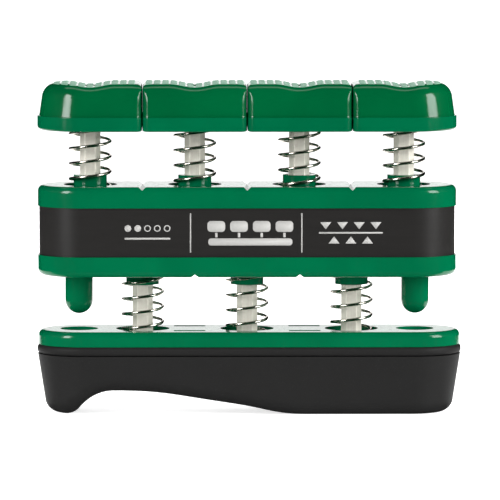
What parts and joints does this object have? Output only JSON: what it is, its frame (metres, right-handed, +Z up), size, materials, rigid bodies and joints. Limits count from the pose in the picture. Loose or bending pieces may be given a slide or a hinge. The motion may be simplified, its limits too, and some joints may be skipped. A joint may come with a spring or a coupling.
{
  "type": "finger exerciser",
  "caption": "Hand-held finger exerciser: separately sprung finger buttons on a bar that is itself sprung, on hexagonal rods, over a contoured palm grip.",
  "frame": {"origin": "middle of the footprint, on the surface that the palm grip stands on", "axes": "+X along the row of finger buttons, towards the belly of the palm grip; +Y from the front face to the back; +Z up, against the way that the buttons are pressed"},
  "size_m": [0.0893, 0.0198, 0.0696],
  "materials": {
    "green_plastic": "glossy moulded",
    "grip_rubber": "soft matte",
    "band_film": "satin printed film",
    "rod_steel": "drawn, bright",
    "spring_steel": "plated wire",
    "clip_steel": "stamped"
  },
  "bodies": {
    "handle": {"palm_grip": "grip_rubber", "handle_plate": "green_plastic", "bar_rod_1": "rod_steel", "bar_rod_clip_1": "clip_steel", "bar_spring_1": "spring_steel", "bar_rod_2": "rod_steel", "bar_rod_clip_2": "clip_steel", "bar_spring_2": "spring_steel", "bar_rod_3": "rod_steel", "bar_rod_clip_3": "clip_steel", "bar_spring_3": "spring_steel"},
    "bar": {"bar_upper_shell": "green_plastic", "bar_lower_shell": "green_plastic", "label_band": "band_film", "finger_spring_1": "spring_steel", "finger_spring_2": "spring_steel", "finger_spring_3": "spring_steel", "finger_spring_4": "spring_steel"},
    "finger_1": {"finger_button_1": "green_plastic", "finger_rod_1": "rod_steel", "finger_rod_clip_1": "clip_steel"},
    "finger_2": {"finger_button_2": "green_plastic", "finger_rod_2": "rod_steel", "finger_rod_clip_2": "clip_steel"},
    "finger_3": {"finger_button_3": "green_plastic", "finger_rod_3": "rod_steel", "finger_rod_clip_3": "clip_steel"},
    "finger_4": {"finger_button_4": "green_plastic", "finger_rod_4": "rod_steel", "finger_rod_clip_4": "clip_steel"}
  },
  "joints": [
    {"name": "bar_squeeze", "type": "slide", "parent": "handle", "child": "bar", "axis": [0, 0, -1], "range_m": [0, 0.01], "stiffness_N_per_m": 1620, "springref_m": -0.002, "deforming": ["bar_spring_1", "bar_spring_2", "bar_spring_3"]},
    {"name": "finger_1_press", "type": "slide", "parent": "bar", "child": "finger_1", "axis": [0, 0, -1], "range_m": [0, 0.01], "stiffness_N_per_m": 540, "springref_m": -0.002, "deforming": ["finger_spring_1"]},
    {"name": "finger_2_press", "type": "slide", "parent": "bar", "child": "finger_2", "axis": [0, 0, -1], "range_m": [0, 0.01], "stiffness_N_per_m": 540, "springref_m": -0.002, "deforming": ["finger_spring_2"]},
    {"name": "finger_3_press", "type": "slide", "parent": "bar", "child": "finger_3", "axis": [0, 0, -1], "range_m": [0, 0.01], "stiffness_N_per_m": 540, "springref_m": -0.002, "deforming": ["finger_spring_3"]},
    {"name": "finger_4_press", "type": "slide", "parent": "bar", "child": "finger_4", "axis": [0, 0, -1], "range_m": [0, 0.01], "stiffness_N_per_m": 540, "springref_m": -0.002, "deforming": ["finger_spring_4"]}
  ]
}
